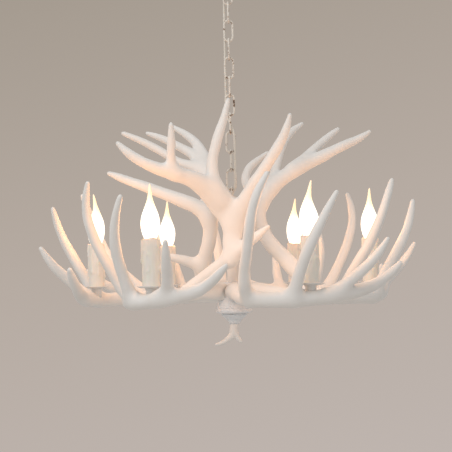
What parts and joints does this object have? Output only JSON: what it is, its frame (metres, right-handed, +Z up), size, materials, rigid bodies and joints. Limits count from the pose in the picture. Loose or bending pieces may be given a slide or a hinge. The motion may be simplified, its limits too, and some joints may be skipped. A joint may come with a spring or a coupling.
{
  "type": "antler chandelier",
  "caption": "Candle chandelier on a chain: curved cast-resin antlers ring a hub, each carrying a candle lamp, with more antlers standing up round the column.",
  "frame": {"origin": "centre of the ceiling bracket's top face, in the plane of the ceiling", "axes": "+Z up through the chain, -Y towards the viewer of the picture, +X to the viewer's right"},
  "size_m": [0.7535, 0.7433, 0.8186],
  "materials": {
    "antler_resin": "matt white cast resin with shallow grain",
    "bulb_glass": "opal flame-shaped glass",
    "candle_wax": "ivory, satin, cast to look like dripping wax",
    "chain_paint": "cream paint rubbed through to brown steel at the bends",
    "hub_plaster_paint": "thick matt white with a rough plastered surface",
    "canopy_paint": "matt off-white",
    "flex_pvc": "pale translucent PVC sheath",
    "pan_enamel": "satin off-white",
    "holder_plastic": "moulded off-white",
    "zinc_steel": "zinc plated"
  },
  "bodies": {
    "ceiling_set": {"ceiling_bracket": "zinc_steel", "canopy": "canopy_paint", "hanger_tube": "zinc_steel", "ceiling_loop": "chain_paint", "terminal_block": "holder_plastic", "supply_flex": "flex_pvc"},
    "link_01": {"chain_link_01": "chain_paint"},
    "link_02": {"chain_link_02": "chain_paint"},
    "link_03": {"chain_link_03": "chain_paint"},
    "link_04": {"chain_link_04": "chain_paint"},
    "link_05": {"chain_link_05": "chain_paint"},
    "link_06": {"chain_link_06": "chain_paint"},
    "link_07": {"chain_link_07": "chain_paint"},
    "link_08": {"chain_link_08": "chain_paint"},
    "link_09": {"chain_link_09": "chain_paint"},
    "link_10": {"chain_link_10": "chain_paint"},
    "link_11": {"chain_link_11": "chain_paint"},
    "link_12": {"chain_link_12": "chain_paint"},
    "bulb_a": {"bulb_a": "bulb_glass"},
    "bulb_b": {"bulb_b": "bulb_glass"},
    "bulb_c": {"bulb_c": "bulb_glass"},
    "bulb_d": {"bulb_d": "bulb_glass"},
    "bulb_e": {"bulb_e": "bulb_glass"},
    "bulb_f": {"bulb_f": "bulb_glass"},
    "finial": {"finial_cup": "hub_plaster_paint", "finial_fork": "antler_resin"},
    "frame": {"body_loop": "chain_paint", "butt_studs": "zinc_steel", "candle_necks": "hub_plaster_paint", "candle_nipples": "zinc_steel", "candle_sleeve_a": "candle_wax", "candle_sleeve_b": "candle_wax", "candle_sleeve_c": "candle_wax", "candle_sleeve_d": "candle_wax", "candle_sleeve_e": "candle_wax", "candle_sleeve_f": "candle_wax", "column_tube": "hub_plaster_paint", "drip_pans": "pan_enamel", "hub_cone": "hub_plaster_paint", "hub_rim_plate": "hub_plaster_paint", "lamp_holders": "holder_plastic", "lower_antler_a": "antler_resin", "lower_antler_b": "antler_resin", "lower_antler_c": "antler_resin", "lower_antler_d": "antler_resin", "lower_antler_e": "antler_resin", "lower_antler_f": "antler_resin", "seat_dowels": "zinc_steel", "spider_collar": "hub_plaster_paint", "threaded_tube": "zinc_steel", "upper_antler_front": "antler_resin", "upper_antler_left": "antler_resin", "upper_antler_right": "antler_resin"}
  },
  "joints": [
    {"name": "chain_swing_01", "type": "hinge", "parent": "ceiling_set", "child": "link_01", "pos_m": [0, 0, -0.058], "axis": [1, 0, 0], "range_deg": [-10, 10], "deforming": ["supply_flex"]},
    {"name": "chain_swing_02", "type": "hinge", "parent": "link_01", "child": "link_02", "pos_m": [0, 0, -0.0954], "axis": [0, 1, 0], "range_deg": [-10, 10], "deforming": ["supply_flex"]},
    {"name": "chain_swing_03", "type": "hinge", "parent": "link_02", "child": "link_03", "pos_m": [0, 0, -0.1332], "axis": [1, 0, 0], "range_deg": [-10, 10], "deforming": ["supply_flex"]},
    {"name": "chain_swing_04", "type": "hinge", "parent": "link_03", "child": "link_04", "pos_m": [0, 0, -0.171], "axis": [0, 1, 0], "range_deg": [-10, 10], "deforming": ["supply_flex"]},
    {"name": "chain_swing_05", "type": "hinge", "parent": "link_04", "child": "link_05", "pos_m": [0, 0, -0.2088], "axis": [1, 0, 0], "range_deg": [-10, 10], "deforming": ["supply_flex"]},
    {"name": "chain_swing_06", "type": "hinge", "parent": "link_05", "child": "link_06", "pos_m": [0, 0, -0.2466], "axis": [0, 1, 0], "range_deg": [-10, 10], "deforming": ["supply_flex"]},
    {"name": "chain_swing_07", "type": "hinge", "parent": "link_06", "child": "link_07", "pos_m": [0, 0, -0.2844], "axis": [1, 0, 0], "range_deg": [-10, 10], "deforming": ["supply_flex"]},
    {"name": "chain_swing_08", "type": "hinge", "parent": "link_07", "child": "link_08", "pos_m": [0, 0, -0.3222], "axis": [0, 1, 0], "range_deg": [-10, 10], "deforming": ["supply_flex"]},
    {"name": "chain_swing_09", "type": "hinge", "parent": "link_08", "child": "link_09", "pos_m": [0, 0, -0.36], "axis": [1, 0, 0], "range_deg": [-10, 10], "deforming": ["supply_flex"]},
    {"name": "chain_swing_10", "type": "hinge", "parent": "link_09", "child": "link_10", "pos_m": [0, 0, -0.3978], "axis": [0, 1, 0], "range_deg": [-10, 10], "deforming": ["supply_flex"]},
    {"name": "chain_swing_11", "type": "hinge", "parent": "link_10", "child": "link_11", "pos_m": [0, 0, -0.4356], "axis": [1, 0, 0], "range_deg": [-10, 10], "deforming": ["supply_flex"]},
    {"name": "chain_swing_12", "type": "hinge", "parent": "link_11", "child": "link_12", "pos_m": [0, 0, -0.4734], "axis": [0, 1, 0], "range_deg": [-10, 10], "deforming": ["supply_flex"]},
    {"name": "body_swing", "type": "hinge", "parent": "link_12", "child": "frame", "pos_m": [0, 0, -0.5112], "axis": [1, 0, 0], "range_deg": [-10, 10], "deforming": ["supply_flex"]},
    {"name": "bulb_a_unscrew", "type": "hinge", "parent": "frame", "child": "bulb_a", "pos_m": [0.13717, -0.23764, -0.6217], "axis": [0, 0, 1], "range_deg": [0, 1080]},
    {"name": "bulb_b_unscrew", "type": "hinge", "parent": "frame", "child": "bulb_b", "pos_m": [-0.14947, -0.23011, -0.6217], "axis": [0, 0, 1], "range_deg": [0, 1080]},
    {"name": "bulb_c_unscrew", "type": "hinge", "parent": "frame", "child": "bulb_c", "pos_m": [-0.27438, -0.00236, -0.6217], "axis": [0, 0, 1], "range_deg": [0, 1080]},
    {"name": "bulb_d_unscrew", "type": "hinge", "parent": "frame", "child": "bulb_d", "pos_m": [-0.14334, 0.23397, -0.6217], "axis": [0, 0, 1], "range_deg": [0, 1080]},
    {"name": "bulb_e_unscrew", "type": "hinge", "parent": "frame", "child": "bulb_e", "pos_m": [0.13929, 0.23641, -0.6217], "axis": [0, 0, 1], "range_deg": [0, 1080]},
    {"name": "bulb_f_unscrew", "type": "hinge", "parent": "frame", "child": "bulb_f", "pos_m": [0.27334, -0.02394, -0.6217], "axis": [0, 0, 1], "range_deg": [0, 1080]},
    {"name": "finial_unscrew", "type": "hinge", "parent": "frame", "child": "finial", "pos_m": [0, 0, -0.7693], "axis": [0, 0, 1], "range_deg": [0, 1440]}
  ]
}
